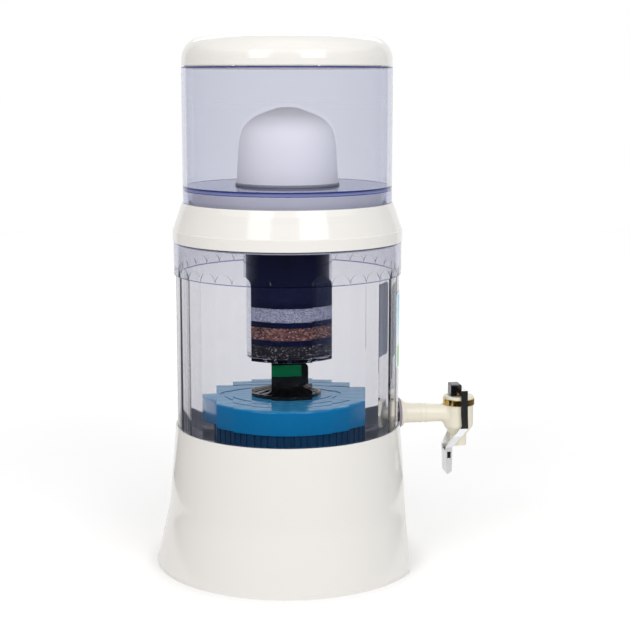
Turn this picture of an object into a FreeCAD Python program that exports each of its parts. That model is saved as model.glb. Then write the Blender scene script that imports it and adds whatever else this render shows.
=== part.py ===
import FreeCAD, Part

import math
import os
from types import SimpleNamespace

import Sketcher

# Two-tank gravity water filter with a lever tap.
# Frame: +Z up, origin on the tanks' axis at the surface the stand rests on, tap along +X.
# Lengths in millimetres, angles in degrees.

SIZES = {
    # Shares and overruns that several cutters use
    "cutter_overrun": 1.0,
    "round_end_share": 0.999,
    # Stand: a flared skirt with a flat front under the tap
    "stand_height": 158.0,
    "stand_rim_wall": 1.7,
    "stand_front_inset": 0.5,
    "stand_wall": 2.6,
    "stand_shoulder_flare": 8.2,
    "stand_shoulder_height": 66.0,
    "stand_foot_flare": 22.7,
    "stand_foot_lip_height": 4.0,
    "stand_flare_rounding": 120.0,
    "stand_corner_rounding": 6.0,
    "stand_seat_depth": 24.0,
    "stand_ledge_inner_radius": 108.0,
    "stand_ledge_thickness": 3.0,
    "stand_notch_gap": 2.5,
    # Lower tank: clear, round outside, faceted inside
    "tank_radius": 124.8,
    "tank_seat_gap": 0.3,
    "tank_wall": 3.2,
    "tank_floor": 3.0,
    "tank_height": 232.0,
    "tank_band_height": 36.5,
    "tank_band_proud": 2.0,
    "tank_floor_rounding": 4.0,
    "facet_count": 36.0,
    "facet_depth": 0.6,
    "facet_arch_drop": 26.0,
    "tap_boss_radius": 16.0,
    "tap_boss_proud": 1.0,
    "tap_boss_inset": 1.4,
    "label_height": 85.0,
    "label_top_gap": 19.5,
    "label_thickness": 0.25,
    "label_glue": 0.08,
    "label_half_angle": 24.5,
    "label_corner_rounding": 6.0,
    # Collar between the two tanks
    "collar_height": 42.2,
    "collar_band_overhang": 0.8,
    "collar_band_height": 12.0,
    "collar_band_step": 0.9,
    "collar_band_chamfer": 1.2,
    "collar_flare_height": 16.0,
    "collar_flare_proud": 2.2,
    "collar_flare_rounding": 20.0,
    "collar_flare_inner_drop": 4.0,
    "collar_top_overhang": 0.9,
    "collar_top_rounding": 1.2,
    "collar_shoulder_overhang": 3.9,
    "collar_shoulder_drop": 7.0,
    "collar_wall": 2.6,
    "collar_lip_depth": 3.0,
    "collar_lip_wall": 2.2,
    "collar_lip_gap": 0.4,
    "collar_lip_root_share": 0.6,
    "collar_plug_room": 0.3,
    "collar_foot_width": 1.5,
    "support_ring_gap": 0.06,
    "support_ring_seat": 1.2,
    "support_ring_flange": 2.4,
    "support_ring_inset": 3.5,
    "support_ring_wall": 2.6,
    "collar_seat_gap": 0.3,
    # Upper tank: clear, with a floor that carries the ceramic dome
    "upper_inset": 9.1,
    "upper_wall": 3.0,
    "upper_skirt_drop": 18.1,
    "upper_plug_depth": 8.5,
    "upper_plug_step": 2.6,
    "upper_plug_gap": 0.4,
    "upper_floor": 3.0,
    "upper_depth": 128.9,
    "outlet_hole_radius": 7.0,
    # Lid
    "lid_height": 34.5,
    "lid_wall": 2.6,
    "lid_edge_inset": 0.3,
    "lid_crown_drop": 2.6,
    "lid_edge_rounding": 25.0,
    "lid_side_draft": 0.4,
    "lid_lip_depth": 2.5,
    "lid_lip_wall": 2.0,
    "lid_lip_gap": 0.5,
    "lid_vent_gap": 1.2,
    "lid_lug_count": 8,
    "lid_lug_width": 2.6,
    "lid_lug_inset": 0.2,
    "lid_lug_root": 0.5,
    "lid_lug_turn": 9.5,
    # Ceramic dome and its foot
    "dome_radius": 56.3,
    "dome_height": 82.0,
    "dome_crown_radius": 9.0,
    "dome_crown_rounding": 38.0,
    "dome_brow_radius": 37.5,
    "dome_brow_drop": 10.2,
    "dome_brow_rounding": 42.0,
    "dome_shoulder_radius": 49.6,
    "dome_shoulder_drop": 22.5,
    "dome_shoulder_rounding": 21.0,
    "dome_side_radius": 53.4,
    "dome_side_drop": 38.0,
    "dome_side_rounding": 55.0,
    "dome_wall": 7.0,
    "foot_radius": 57.6,
    "foot_gap": 0.2,
    "foot_height": 3.0,
    "foot_chamfer": 1.2,
    "stud_radius": 6.0,
    "stud_bore_radius": 3.0,
    "stud_drop": 27.6,
    "thread_gap": 0.06,
    "washer_radius": 20.0,
    "washer_thickness": 1.5,
    "washer_recess_gap": 0.5,
    "washer_bore_gap": 0.3,
    "nut_radius": 17.0,
    "nut_height": 8.0,
    # Cartridge that hangs under the upper tank
    "cap_flange_radius": 68.0,
    "cap_flange_thickness": 3.8,
    "cap_skirt_radius": 52.0,
    "cap_skirt_drop": 22.6,
    "cap_web_drop": 12.6,
    "cap_web_thickness": 4.0,
    "cap_plate_share": 0.8,
    "cap_socket_radius": 12.0,
    "cap_nut_well_radius": 22.0,
    "cartridge_radius": 49.5,
    "cartridge_wall": 2.2,
    "cartridge_floor_gap": 97.0,
    "cartridge_base_height": 6.0,
    "cartridge_base_rounding": 1.5,
    "cartridge_seal_height": 1.6,
    "cartridge_seal_share": 1.6,
    "grille_slots": 16.0,
    "grille_slot_width": 3.0,
    "grille_inner_share": 0.3,
    "grille_outer_share": 0.8,
    "media_radius": 46.8,
    "mineral_depth": 13.0,
    "zeolite_depth": 14.3,
    "silica_depth": 15.7,
    "divider_thickness": 5.8,
    "divider_gap": 0.2,
    "carbon_top_gap": 7.0,
    # Mineral disk on the floor of the lower tank
    "dish_radius": 91.0,
    "dish_base_inset": 2.5,
    "dish_base_height": 26.0,
    "dish_rib_count": 90.0,
    "dish_rib_depth": 1.0,
    "dish_rib_width": 1.6,
    "dish_cover_height": 27.0,
    "dish_wall": 2.4,
    "dish_edge_rounding": 3.0,
    "dish_fill_gap": 0.4,
    "dish_groove_depth": 0.7,
    "dish_groove_width": 2.0,
    "dish_groove_first_share": 0.5,
    "dish_groove_share_step": 0.15,
    "hub_radius": 38.0,
    "hub_edge_height": 4.0,
    "hub_height": 12.0,
    "hub_boss_radius": 20.0,
    "hub_rib_count": 28.0,
    "hub_rib_width": 3.0,
    "hub_rib_depth": 2.4,
    "hub_rib_inner_gap": 1.0,
    "hub_rib_outer_gap": 1.5,
    "knob_half_length": 19.0,
    "knob_half_width": 7.0,
    "knob_height": 26.5,
    "knob_corner_rounding": 7.0,
    "knob_toe_rounding": 2.0,
    "knob_frame": 4.0,
    "knob_window_share": 0.35,
    "knob_lens_inset": 0.5,
    # Tap
    "tap_axis_rise": 30.0,
    "tap_overhang": 72.2,
    "tap_shank_radius": 7.9,
    "tap_shank_gap": 0.3,
    "tap_shank_extra": 5.2,
    "tap_bore_radius": 5.6,
    "tap_flange_radius": 15.5,
    "tap_flange_thickness": 3.2,
    "tap_flange_root_rise": 1.6,
    "tap_flange_rounding": 1.0,
    "tap_gasket_thickness": 3.0,
    "tap_gasket_radius": 17.2,
    "tap_nut_length": 8.0,
    "tap_pipe_root_radius": 11.9,
    "tap_pipe_end_radius": 9.5,
    "tap_pipe_drop": 1.9,
    "tap_pipe_blend": 6.0,
    "tap_pipe_rib_proud": 0.4,
    "tap_pipe_rib_width": 1.6,
    "tap_pipe_rib_pitch": 6.4,
    "tap_pipe_rib_start": 20.0,
    "tap_body_radius": 16.9,
    "tap_body_top": 15.5,
    "tap_body_bottom": -16.5,
    "tap_body_rounding": 5.4,
    "tap_chamber_radius": 12.0,
    "tap_seat_level": -14.0,
    "spout_radius": 9.4,
    "spout_bore_radius": 5.8,
    "spout_tip": -39.4,
    "spout_length": 12.0,
    "spout_rounding": 4.5,
    "bonnet_ring_radius": 18.3,
    "bonnet_ring_height": 7.2,
    "bonnet_ring_gap": 0.05,
    "bonnet_ring_rounding": 0.5,
    "bonnet_radius": 17.3,
    "bonnet_height": 3.1,
    "bonnet_plug_depth": 8.5,
    "bonnet_plug_gap": 0.1,
    "bonnet_rounding": 1.5,
    "stem_radius": 3.0,
    "stem_running_gap": 0.08,
    "stem_flange_radius": 9.0,
    "stem_flange_height": 2.0,
    "seal_thickness": 3.6,
    "seal_radius": 9.5,
    "seal_seat_gap": 0.1,
    "spring_wire_radius": 0.6,
    "spring_mean_radius": 6.0,
    "spring_turns": 6.0,
    "spring_end_gap": 0.2,
    "pin_offset": -3.2,
    "pin_level": 22.3,
    "pin_radius": 1.6,
    "pin_head_radius": 2.7,
    "pin_head_height": 1.0,
    "eye_radius": 2.8,
    "eye_half_width": 2.9,
    "eye_overlap": 0.5,
    "block_gap": 0.3,
    "block_bottom": 19.3,
    "block_top": 32.4,
    "block_back": -11.0,
    "block_front": 1.3,
    "block_half_width": 9.0,
    "block_slot_back": -8.5,
    "block_slot_top": 28.5,
    "block_rounding": 1.4,
    "block_seat_gap": 1.4,
    # Lever: two bent arms that close in below, joined by a bar above and a handle below
    "lever_arm_gap": 0.4,
    "lever_arm_thickness": 2.4,
    "lever_arm_back": -2.1,
    "lever_arm_width": 7.7,
    "lever_top": 27.6,
    "lever_bar_height": 5.4,
    "lever_elbow_level": -16.6,
    "lever_elbow_shift": 1.2,
    "lever_elbow_rise": 3.0,
    "lever_arm_spread": 0.5,
    "lever_knee_level": -40.4,
    "lever_knee_shift": -14.7,
    "lever_knee_rise": 0.5,
    "lever_handle_top": -46.0,
    "lever_tip_level": -72.7,
    "lever_tip_rise": 4.3,
    "lever_handle_width": 7.4,
    "lever_handle_half": 11.7,
    "lever_tip_width": 6.0,
    "lever_tip_rounding": 1.0,
    "lever_window_height": 7.6,
    "lever_window_width": 4.2,
    "lever_insert_inset": 0.3,
    "lever_window_drop": 4.9,
    "lever_rounding": 2.5,
}

doc = FreeCAD.newDocument("water_filter")
sheet = doc.addObject("Spreadsheet::Sheet", "Sizes")
for row, (alias, number) in enumerate(SIZES.items(), start=1):
    sheet.set(f"A{row}", str(number))
    sheet.setAlias(f"A{row}", alias)
doc.recompute()


class Size:
    """A size from the sheet, or one worked out from them: its number and its expression."""

    def __init__(self, value, text):
        self.value = float(value)
        self.text = text

    def joined(self, sign, other, value):
        return Size(value, f"({self.text} {sign} {other.text})")

    def __add__(self, other):
        other = as_size(other)
        return self.joined("+", other, self.value + other.value)

    def __sub__(self, other):
        other = as_size(other)
        return self.joined("-", other, self.value - other.value)

    def __mul__(self, other):
        other = as_size(other)
        return self.joined("*", other, self.value * other.value)

    def __truediv__(self, other):
        other = as_size(other)
        return self.joined("/", other, self.value / other.value)

    def __radd__(self, other):
        return as_size(other) + self

    def __rsub__(self, other):
        return as_size(other) - self

    def __rmul__(self, other):
        return as_size(other) * self

    def __rtruediv__(self, other):
        return as_size(other) / self

    def __neg__(self):
        return Size(-self.value, f"(0 - {self.text})")

    def __float__(self):
        return self.value


def as_size(thing):
    """A Size as it is, or a plain number turned into one."""
    return thing if isinstance(thing, Size) else Size(thing, repr(float(thing)))


def tangent(degrees):
    """The tangent of an angle in degrees."""
    angle = as_size(degrees)
    return Size(math.tan(math.radians(angle.value)), f"tan({angle.text})")


def cosine(degrees):
    """The cosine of an angle in degrees."""
    angle = as_size(degrees)
    return Size(math.cos(math.radians(angle.value)), f"cos({angle.text})")


def sine(degrees):
    """The sine of an angle in degrees."""
    angle = as_size(degrees)
    return Size(math.sin(math.radians(angle.value)), f"sin({angle.text})")


S = SimpleNamespace(**{alias: Size(sheet.get(alias), f"Sizes.{alias}") for alias in SIZES})


# Helpers that make sketches and features whose sizes follow the sheet

def bind(thing, prop, size):
    """Tie one property to the sheet."""
    thing.setExpression(prop, as_size(size).text)


def new_body(label, across=0.0, up=0.0):
    """An empty body with its own label, placed in the frame."""
    body = doc.addObject("PartDesign::Body", label)
    body.Label = label
    for axis, size in (("x", across), ("z", up)):
        bind(body, f"Placement.Base.{axis}", size)
    return body


def origin_feature(body, role):
    """One of the body's own origin planes or axes."""
    return next(item for item in body.Origin.OriginFeatures if item.Role == role)


def new_sketch(body, name, plane, shift=None):
    """A sketch on one of the body's origin planes, moved along its normal by shift."""
    sketch = body.newObject("Sketcher::SketchObject", name)
    sketch.AttachmentSupport = [(origin_feature(body, plane), "")]
    sketch.MapMode = "FlatFace"
    if shift is not None:
        bind(sketch, "AttachmentOffset.Base.z", shift)
    return sketch


def add_fixed(sketch, kind, geometry, point, size):
    """A distance from the sketch's origin, or a radius, that follows the sheet."""
    arguments = [geometry] if point is None else [geometry, point]
    index = sketch.addConstraint(Sketcher.Constraint(kind, *arguments, size.value))
    bind(sketch, f"Constraints[{index}]", size)


def fix_point(sketch, geometry, point, corner):
    """Hold one point of a sketch at a corner's place."""
    add_fixed(sketch, "DistanceX", geometry, point, corner[0])
    add_fixed(sketch, "DistanceY", geometry, point, corner[1])


def tangent_points(before, corner, after, radius):
    """Where an arc that rounds a corner leaves its two sides, and the arc's centre."""
    here = FreeCAD.Vector(corner[0].value, corner[1].value, 0)
    to_before = (FreeCAD.Vector(before[0].value, before[1].value, 0) - here).normalize()
    to_after = (FreeCAD.Vector(after[0].value, after[1].value, 0) - here).normalize()
    half_angle = to_before.getAngle(to_after) / 2
    reach = radius.value / math.tan(half_angle)
    middle = (to_before + to_after).normalize()
    centre = here + middle * (radius.value / math.sin(half_angle))
    turns_left = to_before.cross(to_after).z < 0
    return here + to_before * reach, here + to_after * reach, centre, turns_left


def draw_outline(sketch, corners):
    """A closed outline. A corner is (across, up), or (across, up, rounding radius)."""
    corners = [tuple(as_size(item) for item in corner) for corner in corners]
    count = len(corners)
    ends = []
    for index, corner in enumerate(corners):
        here = FreeCAD.Vector(corner[0].value, corner[1].value, 0)
        ends.append([here, here, None, True])
        if len(corner) == 3:
            before = corners[index - 1]
            after = corners[(index + 1) % count]
            ends[index] = list(tangent_points(before, corner, after, corner[2]))
    sides = []
    for index in range(count):
        line = Part.LineSegment(ends[index][1], ends[(index + 1) % count][0])
        sides.append(sketch.addGeometry(line, False))
    for index, corner in enumerate(corners):
        side_in = sides[index - 1]
        side_out = sides[index]
        if len(corner) == 2:
            sketch.addConstraint(Sketcher.Constraint("Coincident", side_in, 2, side_out, 1))
            fix_point(sketch, side_out, 1, corner)
        else:
            round_corner(sketch, side_in, side_out, corner, ends[index])


def round_corner(sketch, side_in, side_out, corner, ends):
    """An arc tangent to the two sides that would meet at a corner."""
    start, end, centre, turns_left = ends
    first, last = (start, end) if turns_left else (end, start)
    circle = Part.Circle(centre, FreeCAD.Vector(0, 0, 1), corner[2].value)
    angles = [math.atan2(point.y - centre.y, point.x - centre.x) for point in (first, last)]
    if angles[1] < angles[0]:
        angles[1] += 2 * math.pi
    arc = sketch.addGeometry(Part.ArcOfCircle(circle, angles[0], angles[1]), False)
    here = FreeCAD.Vector(corner[0].value, corner[1].value, 0)
    point = sketch.addGeometry(Part.Point(here), True)
    fix_point(sketch, point, 1, corner)
    sketch.addConstraint([
        Sketcher.Constraint("PointOnObject", point, 1, side_in),
        Sketcher.Constraint("PointOnObject", point, 1, side_out),
        Sketcher.Constraint("Tangent", side_in, 2, arc, 1 if turns_left else 2),
        Sketcher.Constraint("Tangent", arc, 2 if turns_left else 1, side_out, 1),
    ])
    add_fixed(sketch, "Radius", arc, None, corner[2])


def draw_circle(sketch, radius, across=0.0, up=0.0):
    """A circle at a place in the sketch."""
    radius = as_size(radius)
    centre = (as_size(across), as_size(up))
    place = FreeCAD.Vector(centre[0].value, centre[1].value, 0)
    circle = sketch.addGeometry(Part.Circle(place, FreeCAD.Vector(0, 0, 1), radius.value), False)
    fix_point(sketch, circle, 3, centre)
    add_fixed(sketch, "Radius", circle, None, radius)


def turn(body, name, corners, about="V_Axis", cut=False):
    """Add or cut the shape that an outline in the XZ plane sweeps round an axis."""
    sketch = new_sketch(body, f"{name}_outline", "XZ_Plane")
    draw_outline(sketch, corners)
    kind = "PartDesign::Groove" if cut else "PartDesign::Revolution"
    feature = body.newObject(kind, name)
    feature.Profile = sketch
    feature.ReferenceAxis = (sketch, [about])
    feature.Angle = 360.0
    return feature


def extrude(body, name, sketch, length, cut=False, both_ways=False, flip=False):
    """Pad or pocket a sketch along its normal."""
    feature = body.newObject("PartDesign::Pocket" if cut else "PartDesign::Pad", name)
    feature.Profile = sketch
    feature.SideType = "Symmetric" if both_ways else "One side"
    feature.Reversed = flip
    bind(feature, "Length", length)
    return feature


def slab(body, name, plane, corners, length, shift=None, **options):
    """Pad or pocket an outline drawn on one of the body's planes."""
    sketch = new_sketch(body, f"{name}_outline", plane, shift)
    draw_outline(sketch, corners)
    return extrude(body, name, sketch, length, **options)


def disc(body, name, plane, radius, length, shift=None, across=0.0, up=0.0, **options):
    """Pad or pocket a circle drawn on one of the body's planes."""
    sketch = new_sketch(body, f"{name}_outline", plane, shift)
    draw_circle(sketch, radius, across, up)
    return extrude(body, name, sketch, length, **options)


def repeat_round(body, name, feature, count):
    """Repeat a feature round the body's Z axis."""
    pattern = body.newObject("PartDesign::PolarPattern", name)
    pattern.Originals = [feature]
    pattern.Axis = (origin_feature(body, "Z_Axis"), [""])
    pattern.Angle = 360.0
    bind(pattern, "Occurrences", count)
    body.Tip = pattern
    return pattern


def box_corners(left, right, bottom, top):
    """The four corners of a rectangle."""
    return [(left, bottom), (right, bottom), (right, top), (left, top)]


def ring_corners(inner, outer, bottom, top):
    """The four corners of a ring's cross-section."""
    return box_corners(inner, outer, bottom, top)


def soften(body, name, radius, wanted):
    """Round the edges that a test picks out."""
    doc.recompute()
    base = body.Tip
    names = [f"Edge{n}" for n, edge in enumerate(base.Shape.Edges, start=1) if wanted(edge)]
    fillet = body.newObject("PartDesign::Fillet", name)
    fillet.Base = (base, names)
    bind(fillet, "Radius", radius)
    return fillet


def cut_away(label, base, tool):
    """The base with the tool's space taken out of it."""
    cut = doc.addObject("Part::Cut", label)
    cut.Base = base
    cut.Tool = tool
    return cut


# Heights and radii that the pieces share

lower_floor_level = S.stand_height - S.stand_seat_depth
lower_floor_top = lower_floor_level + S.tank_floor
lower_rim_level = lower_floor_level + S.tank_height
band_bottom_level = lower_rim_level - S.tank_band_height
band_radius = S.tank_radius + S.tank_band_proud
lower_bore_radius = S.tank_radius - S.tank_wall
stand_rim_bore = S.tank_radius + S.tank_seat_gap
stand_rim_radius = stand_rim_bore + S.stand_rim_wall
stand_front = stand_rim_radius - S.stand_front_inset
stand_shoulder_radius = stand_rim_radius + S.stand_shoulder_flare
stand_foot_radius = stand_rim_radius + S.stand_foot_flare

upper_radius = S.tank_radius - S.upper_inset
collar_shoulder_radius = upper_radius + S.collar_shoulder_overhang

label_top = band_bottom_level - S.label_top_gap
label_bottom = label_top - S.label_height
cartridge_bottom = lower_floor_top + S.cartridge_floor_gap

collar_top_level = lower_rim_level + S.collar_height
upper_step_level = collar_top_level + S.collar_seat_gap
upper_floor_top = upper_step_level + S.upper_skirt_drop
upper_floor_under = upper_floor_top - S.upper_floor
upper_rim_level = upper_floor_top + S.upper_depth
upper_bore_radius = upper_radius - S.upper_wall
collar_bore = upper_radius - S.upper_plug_step + S.upper_plug_gap
collar_foot_level = upper_step_level - S.upper_plug_depth - S.collar_plug_room

boss_outer_x = S.tank_radius + S.tap_boss_proud
boss_inner_x = lower_bore_radius - S.tap_boss_inset
flange_back_x = boss_outer_x + S.tap_gasket_thickness
tap_x = boss_outer_x + S.tap_overhang
tap_z = lower_floor_level + S.tap_axis_rise
tap_nut_x = boss_inner_x - S.tap_gasket_thickness - S.tap_nut_length
tap_shank_end = tap_nut_x - S.tap_shank_extra

kept = []


def keep(piece):
    """Remember a finished sub-part for the export."""
    kept.append(piece)
    return piece


def make_stand():
    """Flared skirt, flat at the front, with a ledge for the lower tank and a notch for the tap."""
    shell = new_body("stand_shell")
    turn(shell, "flared_skirt", [
        (0, 0),
        (stand_foot_radius, 0),
        (stand_foot_radius, S.stand_foot_lip_height),
        (stand_shoulder_radius, S.stand_shoulder_height, S.stand_flare_rounding),
        (stand_rim_radius, S.stand_height),
        (0, S.stand_height),
    ])
    slab(shell, "flat_front", "YZ_Plane",
         box_corners(-stand_foot_radius * 2, stand_foot_radius * 2,
                     -S.stand_height, S.stand_height * 2),
         stand_foot_radius, shift=stand_front, cut=True, flip=True)
    notch = S.tap_boss_radius + S.stand_notch_gap
    slab(shell, "tap_notch", "YZ_Plane", [
        (-notch, tap_z - notch, notch * S.round_end_share),
        (notch, tap_z - notch, notch * S.round_end_share),
        (notch, S.stand_height * 2),
        (-notch, S.stand_height * 2),
    ], stand_foot_radius, cut=True, flip=True)

    def is_front_corner(edge):
        box = edge.BoundBox
        on_front = abs(box.XMin - stand_front.value) < 0.01 and box.XLength < 0.01
        return on_front and box.ZLength > S.stand_shoulder_height.value / 2

    soften(shell, "front_corners", S.stand_corner_rounding, is_front_corner)
    disc(shell, "tank_seat", "XY_Plane", stand_rim_bore, S.stand_seat_depth,
         shift=S.stand_height, cut=True)
    disc(shell, "ledge_opening", "XY_Plane", S.stand_ledge_inner_radius, S.stand_height,
         shift=S.stand_height, cut=True)

    hollow = new_body("stand_hollow")
    ledge_under = lower_floor_level - S.stand_ledge_thickness
    rim_slope = (stand_shoulder_radius - stand_rim_radius) / (
        S.stand_height - S.stand_shoulder_height)
    hollow_top_radius = (stand_rim_radius - S.stand_wall
                         + rim_slope * (S.stand_height - ledge_under))
    turn(hollow, "inner_skirt", [
        (0, -S.cutter_overrun),
        (stand_foot_radius - S.stand_wall, -S.cutter_overrun),
        (stand_foot_radius - S.stand_wall, S.stand_foot_lip_height),
        (stand_shoulder_radius - S.stand_wall, S.stand_shoulder_height,
         S.stand_flare_rounding),
        (hollow_top_radius, ledge_under),
        (0, ledge_under),
    ])
    slab(hollow, "inner_front", "YZ_Plane",
         box_corners(-stand_foot_radius * 2, stand_foot_radius * 2,
                     -S.stand_height, S.stand_height * 2),
         stand_foot_radius, shift=stand_front - S.stand_wall, cut=True, flip=True)
    keep(cut_away("stand", shell, hollow))


def make_lower_tank():
    """Clear tank: smooth outside with a thicker band at the top, arched flat facets inside."""
    tank = new_body("lower_tank")
    turn(tank, "wall_and_floor", [
        (0, lower_floor_level),
        (S.tank_radius, lower_floor_level, S.tank_floor_rounding),
        (S.tank_radius, band_bottom_level),
        (band_radius, band_bottom_level),
        (band_radius, lower_rim_level),
        (lower_bore_radius, lower_rim_level),
        (lower_bore_radius, lower_floor_top),
        (0, lower_floor_top),
    ])
    facet_plane = lower_bore_radius + S.facet_depth
    half_facet = facet_plane * tangent(180.0 / S.facet_count)
    arch_top = lower_rim_level - S.facet_arch_drop
    arch_rounding = half_facet * S.round_end_share
    facet = slab(tank, "facet", "YZ_Plane", [
        (-half_facet, lower_floor_top),
        (half_facet, lower_floor_top),
        (half_facet, arch_top, arch_rounding),
        (-half_facet, arch_top, arch_rounding),
    ], S.facet_depth * 2, shift=facet_plane - S.facet_depth * 2, cut=True, flip=True)
    repeat_round(tank, "facets", facet, S.facet_count)
    disc(tank, "tap_boss", "YZ_Plane", S.tap_boss_radius, boss_outer_x - boss_inner_x,
         shift=boss_inner_x, up=tap_z)
    disc(tank, "tap_hole", "YZ_Plane", S.tap_shank_radius + S.tap_shank_gap,
         boss_outer_x * 2, shift=0.0, up=tap_z, cut=True, flip=True)
    keep(tank)


def make_front_label():
    """Thin curved sheet on the outside of the lower tank above the tap."""
    band = new_body("label_band")
    inner = S.tank_radius + S.label_glue
    turn(band, "sheet", ring_corners(inner, inner + S.label_thickness,
                                     label_bottom, label_top))
    half_width = S.tank_radius * sine(S.label_half_angle)
    rounding = S.label_corner_rounding
    blank = new_body("label_blank")
    slab(blank, "blank", "YZ_Plane", [
        (-half_width, label_bottom, rounding),
        (half_width, label_bottom, rounding),
        (half_width, label_top, rounding),
        (-half_width, label_top, rounding),
    ], S.tank_radius * 2)
    label = doc.addObject("Part::Common", "front_label")
    label.Base = band
    label.Tool = blank
    keep(label)


def make_collar():
    """White ring on the lower tank's rim that the upper tank's plug drops into."""
    collar = new_body("collar", up=lower_rim_level)
    lip_outer = lower_bore_radius - S.collar_lip_gap
    lip_inner = lip_outer - S.collar_lip_wall
    band_outer = band_radius + S.collar_band_overhang
    band_top = S.collar_band_height
    flare_top = band_top + S.collar_flare_height
    shoulder = S.collar_height - S.collar_shoulder_drop
    flare = collar_shoulder_radius + S.collar_flare_proud
    turn(collar, "ring", [
        (band_outer, 0),
        (band_outer, band_top),
        (band_outer - S.collar_band_step, band_top + S.collar_band_chamfer),
        (flare, flare_top, S.collar_flare_rounding),
        (collar_shoulder_radius, shoulder, S.collar_flare_rounding),
        (upper_radius + S.collar_top_overhang, S.collar_height, S.collar_top_rounding),
        (collar_bore, S.collar_height),
        (collar_bore, collar_foot_level - lower_rim_level),
        (collar_bore + S.collar_foot_width, collar_foot_level - lower_rim_level),
        (flare - S.collar_wall, flare_top - S.collar_flare_inner_drop),
        (lip_inner, band_top * S.collar_lip_root_share),
        (lip_inner, -S.collar_lip_depth),
        (lip_outer, -S.collar_lip_depth),
        (lip_outer, 0),
    ])
    keep(collar)


def make_support_ring():
    """White ring under the collar's bore that stands up inside the upper tank's skirt."""
    ring = new_body("support_ring")
    seat = collar_bore + S.support_ring_seat
    flange_top = collar_foot_level - S.support_ring_gap
    outer = upper_radius - S.upper_plug_step - S.upper_wall - S.support_ring_inset
    inner = outer - S.support_ring_wall
    turn(ring, "ring", [
        (inner, flange_top - S.support_ring_flange),
        (seat, flange_top - S.support_ring_flange),
        (seat, flange_top),
        (outer, flange_top),
        (outer, upper_floor_under - S.collar_seat_gap),
        (inner, upper_floor_under - S.collar_seat_gap),
    ])
    keep(ring)


def make_upper_tank():
    """Clear upper tank with a floor, a skirt below it and a plug that sits in the collar."""
    tank = new_body("upper_tank")
    plug_radius = upper_radius - S.upper_plug_step
    plug_level = upper_step_level - S.upper_plug_depth
    turn(tank, "wall_and_floor", [
        (S.outlet_hole_radius, upper_floor_under),
        (plug_radius - S.upper_wall, upper_floor_under),
        (plug_radius - S.upper_wall, plug_level),
        (plug_radius, plug_level),
        (plug_radius, upper_step_level),
        (upper_radius, upper_step_level),
        (upper_radius, upper_rim_level),
        (upper_bore_radius, upper_rim_level),
        (upper_bore_radius, upper_floor_top),
        (S.outlet_hole_radius, upper_floor_top),
    ])
    keep(tank)


def make_lid():
    """White lid with a lip inside the upper tank and lugs that hold a vent gap over its rim."""
    lid = new_body("lid", up=upper_rim_level)
    outer = upper_radius - S.lid_edge_inset
    lip_outer = upper_bore_radius - S.lid_lip_gap
    lip_inner = lip_outer - S.lid_lip_wall
    wall = S.lid_wall
    edge_level = S.lid_height - S.lid_crown_drop
    turn(lid, "shell", [
        (0, S.lid_height),
        (outer - S.lid_side_draft, edge_level, S.lid_edge_rounding),
        (outer, S.lid_vent_gap),
        (lip_outer, S.lid_vent_gap),
        (lip_outer, -S.lid_lip_depth),
        (lip_inner, -S.lid_lip_depth),
        (lip_inner, wall),
        (outer - wall, wall),
        (outer - S.lid_side_draft - wall, edge_level - wall, S.lid_edge_rounding - wall),
        (0, S.lid_height - wall),
    ])
    along = (cosine(S.lid_lug_turn), sine(S.lid_lug_turn))
    half = S.lid_lug_width / 2
    corners = [(reach * along[0] - side * along[1], reach * along[1] + side * along[0])
               for reach, side in [(lip_outer - S.lid_lug_root, -half),
                                   (outer - S.lid_lug_inset, -half),
                                   (outer - S.lid_lug_inset, half),
                                   (lip_outer - S.lid_lug_root, half)]]
    lug = slab(lid, "lug", "XY_Plane", corners, S.lid_vent_gap + S.lid_lug_root)
    repeat_round(lid, "lugs", lug, S.lid_lug_count)
    keep(lid)


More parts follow.
